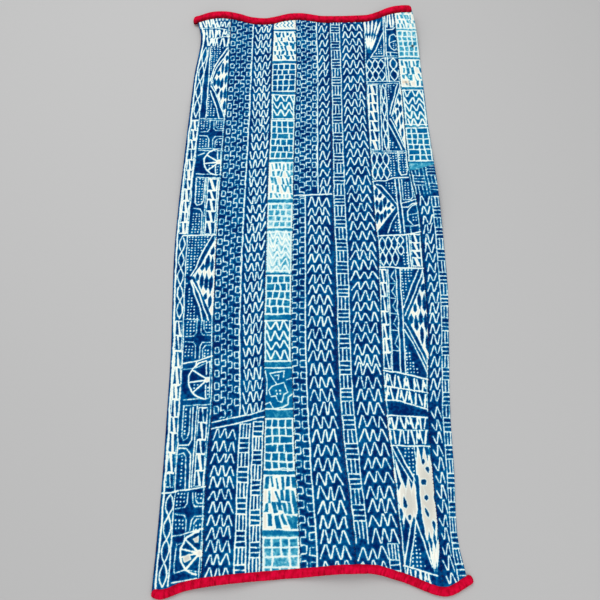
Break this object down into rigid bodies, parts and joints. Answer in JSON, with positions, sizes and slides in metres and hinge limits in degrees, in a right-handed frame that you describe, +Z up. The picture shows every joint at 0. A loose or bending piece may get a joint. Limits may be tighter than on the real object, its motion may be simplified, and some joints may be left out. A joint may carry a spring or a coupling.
{
  "type": "ndop cloth",
  "caption": "Indigo resist-dyed cotton cloth of sewn panels with zigzag, meander, basket and dotted motifs, a pale strip and red bound ends, lying face up.",
  "frame": {"origin": "under the middle of the cloth's box, on the surface it lies on", "axes": "+X across the cloth to the right, +Y along it to the far bound end, +Z up from its face"},
  "size_m": [0.5288, 1.2326, 0.0334],
  "materials": {
    "indigo_cotton": "hand-woven cotton, resist-dyed indigo with white lines, matt",
    "pale_cotton": "hand-woven cotton, light blue and white resist pattern, matt",
    "red_binding": "crimson cotton binding, folded over and gathered, matt"
  },
  "bodies": {
    "root": {"left_panel": "indigo_cotton", "meander_panel": "indigo_cotton", "pale_strip": "pale_cotton", "ladder_panel": "indigo_cotton", "basket_panel": "indigo_cotton", "right_panel": "indigo_cotton", "edge_strip_far": "pale_cotton", "edge_strip_near": "indigo_cotton", "binding_far": "red_binding", "binding_near": "red_binding"}
  },
  "joints": []
}
